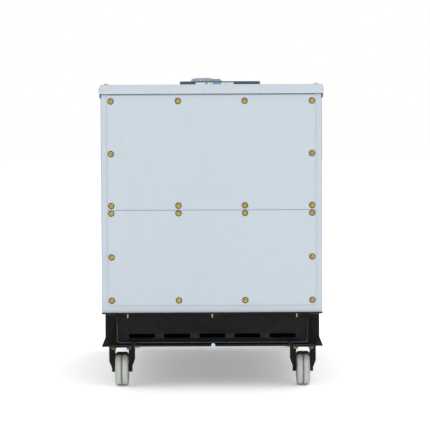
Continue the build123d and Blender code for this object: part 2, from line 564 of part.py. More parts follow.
out("engine_block", eb, CX(36, -240, 350, 120, 196) + CX(24, -240, 350, 114.1, 122))
vm = []
for x in (-155, 155):
    for y in (-340, -130):
        vm.append(CZ(26, x, y, 212.1, 216) + CZ(22, x, y, 215, 249) + CZ(26, x, y, 248, 251.9))
for x in (-105, 105):
    for y in (70, 210):
        vm.append(CZ(22, x, y, 212.1, 216) + CZ(18, x, y, 215, 249) + CZ(22, x, y, 248, 251.9))
out("vibration_mounts", vm)
bat = fillet(B(-288, -176, 320, 482, 212.1, 396).edges().filter_by(Axis.Z), 6) + B(-284, -180, 324, 478, 395, 402)
for x in (-270, -202):
    bat = bat + CZ(8, x, 345, 400, 412)
clamp = B(-291.5, -172, 392, 408, 402.1, 405) + B(-291.5, -289, 392, 408, 212.1, 405) + B(-174.5, -172, 392, 408, 212.1, 405)
out("battery", bat, clamp)


def lead(pts, r, rad):
    path = FilletPolyline(*pts, radius=rad)
    d = path % 0
    return sweep(Plane(origin=path @ 0, z_dir=d) * Circle(r), path=path)


l1 = lead([(-202, 345, 412.1), (-202, 345, 452), (-202, -110, 452), (-114.5, -110, 452)], 5, 25)
l2 = lead([(-270, 345, 412.1), (-270, 345, 478), (-270, -300, 478), (-150, -300, 478), (-150, -300, 452.2)], 5, 22)
out("battery_leads", l1, l2)
rr = [B(150, 290, 335, 470, 212.1, 222) + B(160, 280, 345, 460, 221, 320) - B(196, 244, 340, 465, 245, 298) + B(190, 250, 350, 455, 240, 303)]
hs = B(150, 290, 340, 465, 340, 352)
for k in range(9):
    hs = hs + B(152 + k * 16.6, 155 + k * 16.6, 340, 465, 351, 396)
for t in (152, 284):
    for y in (342, 458):
        hs = hs + B(t, t + 4, y, y + 4, 222.1, 341)
rr.append(hs)
out("rectifier_and_reactor", rr)
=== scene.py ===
import bpy, bmesh, json, math, random
from mathutils import Vector, Matrix


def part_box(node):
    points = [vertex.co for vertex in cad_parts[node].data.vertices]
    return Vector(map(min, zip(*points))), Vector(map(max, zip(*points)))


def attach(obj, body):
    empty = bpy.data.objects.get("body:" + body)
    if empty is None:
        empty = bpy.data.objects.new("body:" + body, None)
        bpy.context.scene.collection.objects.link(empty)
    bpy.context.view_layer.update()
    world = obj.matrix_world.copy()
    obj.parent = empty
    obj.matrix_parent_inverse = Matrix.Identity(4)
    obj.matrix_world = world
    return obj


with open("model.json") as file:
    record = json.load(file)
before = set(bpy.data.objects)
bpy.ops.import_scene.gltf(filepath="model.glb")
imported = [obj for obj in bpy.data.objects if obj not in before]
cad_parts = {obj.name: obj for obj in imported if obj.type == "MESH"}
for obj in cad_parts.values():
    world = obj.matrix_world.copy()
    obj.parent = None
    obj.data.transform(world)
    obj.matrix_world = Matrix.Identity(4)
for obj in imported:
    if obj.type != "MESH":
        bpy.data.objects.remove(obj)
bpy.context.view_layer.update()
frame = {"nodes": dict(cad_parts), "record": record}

random.seed(7)
NODES = frame["nodes"]

# ------------------------------------------------------------------ materials
def surface(name, base, rough, metal=0.0, var=0.05, vscale=6.0, rvar=0.08, fine=900.0, bump=0.05, coat=0.0,
            dirt_and_reflection=None, dirt_and_reflection_amt=0.0, dirt_z=None, wear_and_highlight=None, wear_and_highlight_amt=0.0, aniso=None, spec=None, alpha=None, trans=0.0, bevel=0.0008,
            stripe=None, streak=0.0, dist=0.002):
    m = bpy.data.materials.new(name)
    m.use_nodes = True
    nt = m.node_tree
    N, L = nt.nodes, nt.links
    p = N["Principled BSDF"]
    p.inputs["Metallic"].default_value = metal
    if coat:
        p.inputs["Coat Weight"].default_value = coat
        p.inputs["Coat Roughness"].default_value = 0.15
    if spec is not None:
        p.inputs["Specular IOR Level"].default_value = spec
    if trans:
        p.inputs["Transmission Weight"].default_value = trans
    if alpha is not None:
        p.inputs["Alpha"].default_value = alpha
    tc = N.new("ShaderNodeTexCoord")
    n1 = N.new("ShaderNodeTexNoise"); n1.inputs["Scale"].default_value = vscale; n1.inputs["Detail"].default_value = 6; n1.inputs["Roughness"].default_value = 0.6
    n2 = N.new("ShaderNodeTexNoise"); n2.inputs["Scale"].default_value = fine; n2.inputs["Detail"].default_value = 3
    n3 = N.new("ShaderNodeTexNoise"); n3.inputs["Scale"].default_value = vscale * 9; n3.inputs["Detail"].default_value = 8; n3.inputs["Roughness"].default_value = 0.7
    co = tc.outputs["Object"]
    if aniso:
        mp = N.new("ShaderNodeMapping"); mp.inputs["Scale"].default_value = aniso
        L.new(co, mp.inputs["Vector"]); L.new(mp.outputs["Vector"], n2.inputs["Vector"])
    else:
        L.new(co, n2.inputs["Vector"])
    L.new(co, n1.inputs["Vector"]); L.new(co, n3.inputs["Vector"])
    cr = N.new("ShaderNodeValToRGB")
    lo = [max(0, c * (1 - var)) for c in base]; hi = [min(1, c * (1 + var)) for c in base]
    cr.color_ramp.elements[0].position = 0.3; cr.color_ramp.elements[0].color = (*lo, 1)
    cr.color_ramp.elements[1].position = 0.7; cr.color_ramp.elements[1].color = (*hi, 1)
    L.new(n1.outputs["Fac"], cr.inputs["Fac"])
    col = cr.outputs["Color"]
    rr = N.new("ShaderNodeMapRange")
    rr.inputs["From Min"].default_value = 0.3; rr.inputs["From Max"].default_value = 0.7
    rr.inputs["To Min"].default_value = max(0.02, rough - rvar); rr.inputs["To Max"].default_value = min(1, rough + rvar)
    L.new(n3.outputs["Fac"], rr.inputs["Value"])
    rough_out = rr.outputs["Result"]

    def mixin(col, fac, colour):
        mx = N.new("ShaderNodeMix"); mx.data_type = "RGBA"
        L.new(fac, mx.inputs["Factor"]); L.new(col, mx.inputs["A"]); mx.inputs["B"].default_value = (*colour, 1)
        return mx.outputs["Result"]

    # noise patches of a second colour: dirt on most finishes, painted dark reflections on chrome
    if dirt_and_reflection:
        thr = N.new("ShaderNodeMapRange"); thr.interpolation_type = "SMOOTHSTEP"
        thr.inputs["From Min"].default_value = 0.52; thr.inputs["From Max"].default_value = 0.78
        thr.inputs["To Max"].default_value = dirt_and_reflection_amt
        L.new(n3.outputs["Fac"], thr.inputs["Value"])
        f = thr.outputs["Result"]
        if dirt_z:
            sx = N.new("ShaderNodeSeparateXYZ"); L.new(co, sx.inputs["Vector"])
            zr = N.new("ShaderNodeMapRange"); zr.inputs["From Min"].default_value = dirt_z[1]; zr.inputs["From Max"].default_value = dirt_z[0]
            L.new(sx.outputs["Z"], zr.inputs["Value"])
            mm = N.new("ShaderNodeMath"); mm.operation = "MULTIPLY"
            L.new(f, mm.inputs[0]); L.new(zr.outputs["Result"], mm.inputs[1]); f = mm.outputs["Value"]
        col = mixin(col, f, dirt_and_reflection)
    # second colour on pointy edges: edge wear on most finishes, painted highlights on chrome
    if wear_and_highlight:
        g = N.new("ShaderNodeNewGeometry")
        wr = N.new("ShaderNodeMapRange"); wr.inputs["From Min"].default_value = 0.53; wr.inputs["From Max"].default_value = 0.62; wr.inputs["To Max"].default_value = wear_and_highlight_amt
        L.new(g.outputs["Pointiness"], wr.inputs["Value"])
        mm = N.new("ShaderNodeMath"); mm.operation = "MULTIPLY"
        L.new(wr.outputs["Result"], mm.inputs[0]); L.new(n3.outputs["Fac"], mm.inputs[1])
        col = mixin(col, mm.outputs["Value"], wear_and_highlight)
    if stripe:
        sx = N.new("ShaderNodeSeparateXYZ"); L.new(co, sx.inputs["Vector"])
        sub = N.new("ShaderNodeMath"); sub.operation = "SUBTRACT"; L.new(sx.outputs["X"], sub.inputs[0]); sub.inputs[1].default_value = stripe[0]
        ab = N.new("ShaderNodeMath"); ab.operation = "ABSOLUTE"; L.new(sub.outputs["Value"], ab.inputs[0])
        w = N.new("ShaderNodeMapRange"); w.interpolation_type = "SMOOTHSTEP"
        w.inputs["From Min"].default_value = 0.0050; w.inputs["From Max"].default_value = 0.0006; w.inputs["To Max"].default_value = 0.82
        L.new(ab.outputs["Value"], w.inputs["Value"])
        col = mixin(col, w.outputs["Result"], stripe[1])
        w2 = N.new("ShaderNodeMapRange"); w2.interpolation_type = "SMOOTHSTEP"
        w2.inputs["From Min"].default_value = 0.0125; w2.inputs["From Max"].default_value = 0.0185; w2.inputs["To Max"].default_value = 0.8
        L.new(ab.outputs["Value"], w2.inputs["Value"])
        mm = N.new("ShaderNodeMath"); mm.operation = "MULTIPLY"; L.new(w2.outputs["Result"], mm.inputs[0]); L.new(n3.outputs["Fac"], mm.inputs[1])
        col = mixin(col, mm.outputs["Value"], stripe[1])
        dz = N.new("ShaderNodeMath"); dz.operation = "SUBTRACT"; L.new(sx.outputs["Z"], dz.inputs[0]); dz.inputs[1].default_value = 0.050
        az = N.new("ShaderNodeMath"); az.operation = "ABSOLUTE"; L.new(dz.outputs["Value"], az.inputs[0])
        w3 = N.new("ShaderNodeMapRange"); w3.interpolation_type = "SMOOTHSTEP"
        w3.inputs["From Min"].default_value = 0.0385; w3.inputs["From Max"].default_value = 0.0480; w3.inputs["To Max"].default_value = 0.92
        L.new(az.outputs["Value"], w3.inputs["Value"])
        col = mixin(col, w3.outputs["Result"], (stripe[1][0] * 0.45, stripe[1][1] * 0.4, stripe[1][2] * 0.4))
    L.new(col, p.inputs["Base Color"])
    L.new(rough_out, p.inputs["Roughness"])
    bp = N.new("ShaderNodeBump"); bp.inputs["Strength"].default_value = bump; bp.inputs["Distance"].default_value = dist
    L.new(n2.outputs["Fac"], bp.inputs["Height"])
    if bevel:
        bv = N.new("ShaderNodeBevel"); bv.samples = 4; bv.inputs["Radius"].default_value = bevel
        L.new(bv.outputs["Normal"], bp.inputs["Normal"])
    L.new(bp.outputs["Normal"], p.inputs["Normal"])
    return m


PALE = (0.440, 0.500, 0.560)
M = {
    "white_paint": surface("pale_powder_coat", PALE, 0.36, var=0.012, vscale=2.2, rvar=0.05, fine=520, bump=0.05, coat=0.15,
                           dirt_and_reflection=(0.36, 0.33, 0.28), dirt_and_reflection_amt=0.10, wear_and_highlight=(0.75, 0.8, 0.84), wear_and_highlight_amt=0.25),
    "black_paint": surface("black_satin_paint", (0.0034, 0.0028, 0.0030), 0.36, var=0.25, vscale=5, rvar=0.08, fine=420, bump=0.09, spec=0.07,
                           dirt_and_reflection=(0.07, 0.05, 0.035), dirt_and_reflection_amt=0.10, dirt_z=(0.03, 0.16), wear_and_highlight=(0.06, 0.058, 0.06), wear_and_highlight_amt=0.5),
    "zinc_yellow": surface("yellow_zinc", (0.42, 0.30, 0.075), 0.30, metal=1.0, var=0.35, vscale=75, rvar=0.1, fine=1500, bump=0.08,
                           dirt_and_reflection=(0.20, 0.30, 0.16), dirt_and_reflection_amt=0.6, wear_and_highlight=(0.75, 0.62, 0.25), wear_and_highlight_amt=0.6, bevel=0.0003),
    "zinc_dull": surface("dull_yellow_zinc", (0.16, 0.115, 0.04), 0.45, metal=0.8, var=0.5, vscale=60, rvar=0.1, fine=1500, bump=0.1,
                          dirt_and_reflection=(0.035, 0.022, 0.012), dirt_and_reflection_amt=0.85, bevel=0.0003),
    "zinc": surface("bright_zinc", (0.55, 0.56, 0.58), 0.32, metal=0.9, var=0.15, vscale=40, rvar=0.1, fine=700, bump=0.08,
                    dirt_and_reflection=(0.16, 0.13, 0.10), dirt_and_reflection_amt=0.4),
    # chrome: the darker bluish base, the dark noise patches and the bright pointy edges are painted reflections and
    # painted highlights
    "chrome": surface("chrome_plate", (0.30, 0.36, 0.43), 0.14, metal=1.0, var=0.45, vscale=7, rvar=0.05, fine=1200, bump=0.015,
                      dirt_and_reflection=(0.05, 0.055, 0.07), dirt_and_reflection_amt=0.85, wear_and_highlight=(0.9, 0.92, 0.94), wear_and_highlight_amt=0.9),
    "dark_tray": surface("slate_plastic", (0.045, 0.075, 0.095), 0.42, var=0.15, vscale=14, fine=1300, bump=0.15,
                         dirt_and_reflection=(0.24, 0.24, 0.22), dirt_and_reflection_amt=0.3),
    "cast": surface("cast_grey", (0.075, 0.082, 0.088), 0.58, metal=0.25, var=0.2, vscale=12, fine=420, bump=0.55,
                    dirt_and_reflection=(0.05, 0.035, 0.02), dirt_and_reflection_amt=0.6),
    "alu": surface("cast_aluminium", (0.50, 0.51, 0.52), 0.42, metal=0.9, var=0.12, vscale=18, fine=600, bump=0.35,
                   dirt_and_reflection=(0.08, 0.06, 0.04), dirt_and_reflection_amt=0.4),
    "steel": surface("brushed_steel", (0.42, 0.42, 0.43), 0.34, metal=0.95, var=0.12, vscale=10, fine=300, bump=0.12, aniso=(1, 12, 12),
                     dirt_and_reflection=(0.15, 0.08, 0.04), dirt_and_reflection_amt=0.35),
    "rubber": surface("black_rubber", (0.018, 0.018, 0.019), 0.68, var=0.2, vscale=25, fine=900, bump=0.2, dirt_and_reflection=(0.12, 0.11, 0.1), dirt_and_reflection_amt=0.3),
    "black_plastic": surface("textured_black_plastic", (0.022, 0.022, 0.024), 0.46, var=0.12, vscale=20, fine=1600, bump=0.22, dirt_and_reflection=(0.13, 0.12, 0.11), dirt_and_reflection_amt=0.15),
    "grey_panel": surface("graphite_panel", (0.05, 0.056, 0.062), 0.44, var=0.06, vscale=5, fine=900, bump=0.12, dirt_and_reflection=(0.16, 0.15, 0.13), dirt_and_reflection_amt=0.12),
    "red_plastic": surface("red_plastic", (0.55, 0.02, 0.012), 0.25, var=0.08, vscale=20, fine=800, bump=0.04, coat=0.3),
    "copper_red": surface("varnished_steel", (0.16, 0.055, 0.03), 0.34, metal=0.35, var=0.25, vscale=14, fine=160, bump=0.25, aniso=(1, 14, 1), coat=0.3),
    "glass": surface("clear_window", (0.80, 0.86, 0.88), 0.06, var=0.02, vscale=8, fine=200, bump=0.004, alpha=0.28, spec=0.6, bevel=0),
}
BROWN = (0.12, 0.058, 0.022)
NYLON = (0.43, 0.48, 0.455)


def nylon(cx):
    return surface("nylon_%s" % ("l" if cx < 0 else "r"), NYLON, 0.38, var=0.07, vscale=22, fine=500, bump=0.10,
                   dirt_and_reflection=(0.23, 0.15, 0.09), dirt_and_reflection_amt=0.55, stripe=(cx, BROWN), bevel=0.0006)


NYL = {-1: nylon(-0.266), 1: nylon(0.266)}
SWIV = surface("nylon_swivel", NYLON, 0.38, var=0.07, vscale=22, fine=500, bump=0.10, dirt_and_reflection=(0.23, 0.15, 0.09), dirt_and_reflection_amt=0.6)
slots = {s["node"]: s["material_slot"] for s in frame["record"]["subparts"]}
for n, o in NODES.items():
    if n.startswith("wheel_rear"):
        mt = NYL[-1 if "left" in n else 1]
    elif n.startswith("wheel_front"):
        mt = SWIV
    else:
        mt = M["zinc_dull"] if n == "caster_bolts" else M[slots[n]]
    o.data.materials.clear()
    o.data.materials.append(mt)
    for poly in o.data.polygons:
        poly.material_index = 0

# ------------------------------------------------------------------ mesh helpers
LIFT = 0.010   # pieces are drawn from the same datum as the CAD, 10 mm above the ground
def link(name, bm, mt, body, bevel=None, smooth=30, subsurf=0):
    me = bpy.data.meshes.new(name)
    bmesh.ops.recalc_face_normals(bm, faces=bm.faces)
    bm.to_mesh(me); bm.free()
    me.transform(Matrix.Translation((0, 0, LIFT)))
    o = bpy.data.objects.new(name, me)
    bpy.context.scene.collection.objects.link(o)
    me.materials.append(mt)
    for p in me.polygons:
        p.use_smooth = True
    me.set_sharp_from_angle(angle=math.radians(smooth))
    if bevel:
        b = o.modifiers.new("bevel", "BEVEL"); b.width = bevel; b.segments = 2; b.limit_method = "ANGLE"; b.angle_limit = math.radians(30)
        b.harden_normals = False
    if subsurf:
        s = o.modifiers.new("sub", "SUBSURF"); s.levels = subsurf; s.render_levels = subsurf
    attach(o, body)
    return o


def abox(bm, x0, x1, y0, y1, z0, z1):
    v = [bm.verts.new(p) for p in ((x0, y0, z0), (x1, y0, z0), (x1, y1, z0), (x0, y1, z0), (x0, y0, z1), (x1, y0, z1), (x1, y1, z1), (x0, y1, z1))]
    for f in ((3, 2, 1, 0), (4, 5, 6, 7), (0, 1, 5, 4), (1, 2, 6, 5), (2, 3, 7, 6), (3, 0, 4, 7)):
        bm.faces.new([v[i] for i in f])


def lathe(bm, prof, centre, axis="Y", n=32, sign=1):
    """closed ring surface of a (radius, along) outline about an axis"""
    rings = []
    for r, a in prof:
        ring = []
        if r < 1e-7:
            ring = None
        pts = []
        for i in range(n):
            t = 2 * math.pi * i / n
            u, v = r * math.cos(t), r * math.sin(t)
            if axis == "Y":
                p = (centre[0] + u, centre[1] + sign * a, centre[2] + v)
            elif axis == "X":
                p = (centre[0] + sign * a, centre[1] + u, centre[2] + v)
            else:
                p = (centre[0] + u, centre[1] + v, centre[2] + sign * a)
            pts.append(p)
        if ring is None:
            c = pts[0]
            rings.append([bm.verts.new(c)])
        else:
            rings.append([bm.verts.new(p) for p in pts])
    for a, b in zip(rings, rings[1:]):
        for i in range(n):
            j = (i + 1) % n
            if len(a) == 1 and len(b) == 1:
                continue
            if len(a) == 1:
                bm.faces.new((a[0], b[i], b[j]))
            elif len(b) == 1:
                bm.faces.new((a[i], b[0], a[j]))
            else:
                bm.faces.new((a[i], b[i], b[j], a[j]))
    return rings


def tube(bm, pts, r, n=10, closed=False):
    """round tube along points"""
    P = [Vector(p) for p in pts]
    rings = []
    up = Vector((0, 0, 1))
    for i, p in enumerate(P):
        a = P[(i - 1) % len(P)] if (closed or i > 0) else p
        b = P[(i + 1) % len(P)] if (closed or i < len(P) - 1) else p
        d = (b - a).normalized()
        ref = up if abs(d.dot(up)) < 0.95 else Vector((1, 0, 0))
        s = d.cross(ref).normalized(); t = s.cross(d).normalized()
        rings.append([bm.verts.new(p + r * (math.cos(2 * math.pi * k / n) * s + math.sin(2 * math.pi * k / n) * t)) for k in range(n)])
    m = len(rings)
    for i in range(m if closed else m - 1):
        a, b = rings[i], rings[(i + 1) % m]
        for k in range(n):
            bm.faces.new((a[k], a[(k + 1) % n], b[(k + 1) % n], b[k]))
    if not closed:
        bm.faces.new(rings[0][::-1]); bm.faces.new(rings[-1])


def weld(name, pts, r, mt, body="root"):
    """a rippled weld bead along points"""
    bm = bmesh.new()
    P = [Vector(p) for p in pts]
    L = sum((b - a).length for a, b in zip(P, P[1:]))
    n = max(6, int(L / (r * 0.6)))
    out, rad = [], []
    rnd = random.Random(name)
    for i in range(n + 1):
        s = L * i / n
        for a, b in zip(P, P[1:]):
            d = (b - a).length
            if s <= d + 1e-9:
                out.append(a + (b - a) * (s / d)); break
            s -= d
    rings = []
    for i, p in enumerate(out):
        d = (out[min(i + 1, len(out) - 1)] - out[max(i - 1, 0)]).normalized()
        ref = Vector((0, 0, 1)) if abs(d.z) < 0.9 else Vector((1, 0, 0))
        s = d.cross(ref).normalized(); t = s.cross(d).normalized()
        rr = r * (1 + 0.16 * (1 if i % 2 else -1) + rnd.uniform(-0.15, 0.15))
        if i in (0, len(out) - 1):
            rr *= 0.55
        rings.append([bm.verts.new(p + rr * (math.cos(2 * math.pi * k / 8) * s + math.sin(2 * math.pi * k / 8) * t)) for k in range(8)])
    for a, b in zip(rings, rings[1:]):
        for k in range(8):
            bm.faces.new((a[k], a[(k + 1) % 8], b[(k + 1) % 8], b[k]))
    bm.faces.new(rings[0][::-1]); bm.faces.new(rings[-1])
    return link(name, bm, mt, body, smooth=50)


# ------------------------------------------------------------------ pieces
RUST = surface("weld_rust", (0.16, 0.075, 0.03), 0.62, var=0.5, vscale=60, fine=900, bump=0.4, dirt_and_reflection=(0.35, 0.14, 0.03), dirt_and_reflection_amt=0.8)
WELD = surface("painted_weld", (0.02, 0.019, 0.02), 0.3, var=0.3, vscale=80, fine=700, bump=0.3)
# painted highlight colour for the bend of the lip
LIP_BEND_HIGHLIGHT = surface("lip_edge_wear", (0.055, 0.095, 0.15), 0.4, var=0.3, vscale=40, fine=700, bump=0.15, spec=0.3, dirt_and_reflection=(0.02, 0.02, 0.02), dirt_and_reflection_amt=0.5)
# grey colour for the lip's front edge: a painted highlight
LIP_EDGE_HIGHLIGHT = surface("lip_front_edge_painted_highlight", (0.045, 0.048, 0.055), 0.45, var=0.3, vscale=40, fine=700, bump=0.15, spec=0.2)
for t in (-1, 1):
    n = "l" if t < 0 else "r"
    weld("weld_inner_%s" % n, [(t * 0.2785, -0.5462, 0.1235), (t * 0.2785, -0.5462, 0.205)], 0.0024, WELD)
    weld("weld_foot_%s" % n, [(t * 0.2768, -0.5472, 0.1245), (t * 0.2768, -0.5472, 0.1305)], 0.0028, RUST)
    weld("weld_low_%s" % n, [(t * 0.2772, -0.5463, 0.121), (t * 0.2772, -0.5463, 0.175)], 0.0018, RUST if t < 0 else WELD)
    weld("weld_deck_%s" % n, [(t * 0.281, -0.5568, 0.2068), (t * 0.308, -0.5568, 0.2068)], 0.0018, WELD)
    weld("weld_back_%s" % n, [(t * 0.2785, 0.5462, 0.122), (t * 0.2785, 0.5462, 0.205)], 0.0024, WELD)
    for k, (x0, x1) in enumerate(((0.24, 0.262), (0.0, 0.02))):
        weld("stitch_%s_%d" % (n, k), [(t * x0, -0.5462, 0.2062), (t * x1, -0.5462, 0.2062)], 0.0018, WELD)

# bright bluish lines along the bend of the sloping lip, between the rail ends: painted highlight where the bend catches
# the light
for k, (a, b) in enumerate(((-0.2760, -0.2345), (-0.2195, 0.2195), (0.2345, 0.2760))):
    bm = bmesh.new(); tube(bm, [(a, -0.5482, 0.1236), (b, -0.5482, 0.1236)], 0.0011, 8)
    link("lip_wear_%d" % k, bm, LIP_BEND_HIGHLIGHT, "root")
# grey line along the lip's front edge: painted highlight on that edge
for k, (a, b) in enumerate(((-0.2990, -0.2345), (-0.2195, 0.2195), (0.2345, 0.2990))):
    bm = bmesh.new(); tube(bm, [(a, -0.5579, 0.1164), (b, -0.5579, 0.1164)], 0.0008, 8)
    link("lip_edge_%d" % k, bm, LIP_EDGE_HIGHLIGHT, "root")
bm = bmesh.new(); lathe(bm, [(0, 0.0027), (0.0030, 0.0025), (0.0052, 0.0014), (0.0060, 0.0002), (0.0060, -0.0004), (0, -0.0004)], (0.0025, -0.5580, 0.1166), "Y", 24, -1)
link("lip_button", bm, surface("pale_plug", (0.50, 0.62, 0.68), 0.4, var=0.1, vscale=90, fine=900, bump=0.05), "root")

# dark ring on the flange round each end screw head: painted shade where the washer sits in shadow
SX = (-0.2915, -0.0965, 0.0965, 0.2915)
SC = [(x, z) for x in SX for z in (0.2475, 0.501, 0.523, 0.826)] + [(x, z) for x in (SX[0], SX[3]) for z in (0.3735, 0.6735)]
bm = bmesh.new()
for x, z in SC:
    lathe(bm, [(0.0071, 0.0006), (0.0090, 0.0006), (0.0091, 0.0010), (0.0083, 0.0013), (0.0074, 0.0013), (0.0071, 0.0006)], (x, -0.5564, z), "Y", 28, -1)
link("screw_shade_rings", bm, surface("screw_ring_painted_shade", (0.040, 0.034, 0.018), 0.5, var=0.2, vscale=70, fine=900, bump=0.1), "root")

# near-black plate behind each end's slots: painted shade deepening the dark seen through the slots
SLOT_SHADE = surface("slot_painted_shade", (0.0012, 0.0011, 0.0012), 0.9, var=0.3, vscale=40, fine=700, bump=0.1, spec=0.0)
for s, n in ((-1, "rear"), (1, "front")):
    bm = bmesh.new(); abox(bm, -0.2600, 0.2600, *sorted((s * 0.5350, s * 0.5362)), 0.1324, 0.1536)
    link("slot_liner_%s" % n, bm, SLOT_SHADE, "root", bevel=0.0001)

# door seals: rubber section all round, on the inside of each door
for t in (-1, 1):
    s = "left" if t < 0 else "right"
    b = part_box("door_" + s)
    x = t * 0.3165
    y0, y1, z0, z1 = -0.091, 0.510, 0.2495, 0.808
    pts = []
    R = 0.015
    for cx, cz, a0 in ((y1 - R, z1 - R, 0), (y0 + R, z1 - R, 90), (y0 + R, z0 + R, 180), (y1 - R, z0 + R, 270)):
        for i in range(7):
            a = math.radians(a0 + 15 * i)
            pts.append((x, cx + R * math.cos(a), cz + R * math.sin(a)))
    bm = bmesh.new(); tube(bm, pts, 0.0022, 8, True)
    link("door_seal_" + s, bm, M["rubber"], "door_" + s)

# roof sticker in front of the filler tray, generic colours only
STK_W = surface("sticker_white", (0.85, 0.87, 0.88), 0.35, var=0.03, vscale=30, fine=600, bump=0.03)
STK_B = surface("sticker_blue", (0.10, 0.36, 0.62), 0.35, var=0.08, vscale=30, fine=600, bump=0.03)
STK_Y = surface("sticker_yellow", (0.62, 0.55, 0.10), 0.35, var=0.06, vscale=30, fine=600, bump=0.03)
for k, (a, b, c, d, mt) in enumerate(((-0.0465, 0.0665, 0.8752, 0.8824, STK_W), (-0.0175, -0.0105, 0.8757, 0.8819, STK_B), (0.0035, 0.0305, 0.8757, 0.8819, STK_B), (-0.0045, 0.0005, 0.8764, 0.8812, STK_Y), (0.036, 0.062, 0.8760, 0.8772, STK_B), (0.036, 0.056, 0.8790, 0.8798, STK_B))):
    bm = bmesh.new(); abox(bm, a, b, -0.39228 - 0.00008 * (k > 0), -0.3919, c, d)
    link("tray_sticker_%d" % k, bm, mt, "root", bevel=0.0001)

# dial meters: enamel face, scale ticks, numbers, glass and bezel
FACE = surface("dial_face", (0.83, 0.83, 0.80), 0.4, var=0.02, vscale=60, fine=900, bump=0.02)
INK = surface("dial_ink", (0.015, 0.015, 0.016), 0.5, var=0.1, vscale=60, fine=900, bump=0.02)
NEEDLE = surface("needle_red", (0.45, 0.03, 0.02), 0.4, var=0.1, vscale=60, fine=900, bump=0.02)
for k, cx in enumerate((-0.180, -0.075)):
    cz = 0.745
    bm = bmesh.new(); lathe(bm, [(0, 0), (0.0325, 0), (0.0325, 0.0006), (0, 0.0006)], (cx, 0.5101, cz), "Y", 48)
    link("meter_face_%d" % k, bm, FACE, "root")
    bm = bmesh.new()
    for i in range(31):
        a = math.radians(225 - 9 * i)
        r0, r1, wd = (0.0245, 0.0295, 0.0006) if i % 5 == 0 else (0.0268, 0.0295, 0.00035)
        c, s = math.cos(a), math.sin(a)
        # seen from +Y, so x is mirrored
        q = []
        for r, e in ((r0, -wd), (r1, -wd), (r1, wd), (r0, wd)):
            x, z = r * c - e * s, r * s + e * c
            q.append((cx - x, cz + z))
        lo = [bm.verts.new((x, 0.5106, z)) for x, z in q]; hi = [bm.verts.new((x, 0.51085, z)) for x, z in q]
        bm.faces.new(lo); bm.faces.new(hi[::-1])
        for j in range(4):
            bm.faces.new((lo[j], lo[(j + 1) % 4], hi[(j + 1) % 4], hi[j]))
    link("meter_scale_%d" % k, bm, INK, "root")
    for i in range(0, 7, 1):
        a = math.radians(225 - 45 * i)
        cu = bpy.data.curves.new("num_%d_%d" % (k, i), "FONT"); cu.body = str(i * (50 if k == 0 else 10)); cu.size = 0.0062; cu.extrude = 0.00012
        cu.align_x = "CENTER"; cu.align_y = "CENTER"
        tmp = bpy.data.objects.new("tmp", cu)
        me = bpy.data.meshes.new_from_object(tmp); bpy.data.objects.remove(tmp)
        me.transform(Matrix.Translation((cx - 0.0195 * math.cos(a), 0.51085, LIFT + cz + 0.0195 * math.sin(a))) @ Matrix.Rotation(math.pi, 4, "Z") @ Matrix.Rotation(math.pi / 2, 4, "X"))
        me.materials.clear(); me.materials.append(INK)
        o = bpy.data.objects.new("meter_num_%d_%d" % (k, i), me); bpy.context.scene.collection.objects.link(o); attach(o, "root")
    bm = bmesh.new()
    a = math.radians(225); c, s = math.cos(a), math.sin(a)
    q = [(cx - (r * c - e * s), cz + r * s + e * c) for r, e in ((-0.006, -0.0009), (0.025, -0.0003), (0.025, 0.0003), (-0.006, 0.0009))]
    lo = [bm.verts.new((x, 0.5114, z)) for x, z in q]; hi = [bm.verts.new((x, 0.5118, z)) for x, z in q]
    bm.faces.new(lo); bm.faces.new(hi[::-1])
    for j in range(4):
        bm.faces.new((lo[j], lo[(j + 1) % 4], hi[(j + 1) % 4], hi[j]))
    link("meter_needle_%d" % k, bm, NEEDLE, "root")
    bm = bmesh.new(); lathe(bm, [(0, 0.0030), (0.018, 0.0027), (0.0328, 0.0018), (0.0328, 0.0010), (0.018, 0.0019), (0, 0.0022)], (cx, 0.5107, cz), "Y", 48)
    link("meter_glass_%d" % k, bm, M["glass"], "root")
    bm = bmesh.new(); lathe(bm, [(0.0330, 0.0), (0.0362, 0.0), (0.0366, 0.0012), (0.0350, 0.0034), (0.0330, 0.0030), (0.0330, 0.0)], (cx, 0.5122, cz), "Y", 48)
    link("meter_bezel_%d" % k, bm, M["chrome"], "root")

# hour counter window and pilot lamp lenses
bm = bmesh.new(); abox(bm, 0.0125, 0.0675, 0.5052, 0.5060, 0.7385, 0.7565)
link("counter_face", bm, INK, "root", bevel=0.0003)
for k in range(5):
    cu = bpy.data.curves.new("cnt_%d" % k, "FONT"); cu.body = "0"; cu.size = 0.011; cu.extrude = 0.00015; cu.align_x = "CENTER"; cu.align_y = "CENTER"
    tmp = bpy.data.objects.new("tmp", cu); me = bpy.data.meshes.new_from_object(tmp); bpy.data.objects.remove(tmp)
    me.transform(Matrix.Translation((0.0600 - 0.010 * k, 0.5062, LIFT + 0.7475)) @ Matrix.Rotation(math.pi, 4, "Z") @ Matrix.Rotation(math.pi / 2, 4, "X"))
    me.materials.clear(); me.materials.append(FACE)
    o = bpy.data.objects.new("counter_digit_%d" % k, me); bpy.context.scene.collection.objects.link(o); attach(o, "root")
for k, (x, c) in enumerate(((0.020, (0.55, 0.03, 0.02)), (0.060, (0.75, 0.35, 0.02)), (0.100, (0.03, 0.40, 0.08)))):
    lens = surface("lamp_lens_%d" % k, c, 0.15, var=0.1, vscale=90, fine=900, bump=0.03, coat=0.6)
    bm = bmesh.new(); lathe(bm, [(0.0, 0.0045), (0.0030, 0.0041), (0.0052, 0.0026), (0.0058, 0.0), (0.0, 0.0)], (x, 0.5100, 0.790), "Y", 24)
    link("lamp_%d" % k, bm, lens, "root")

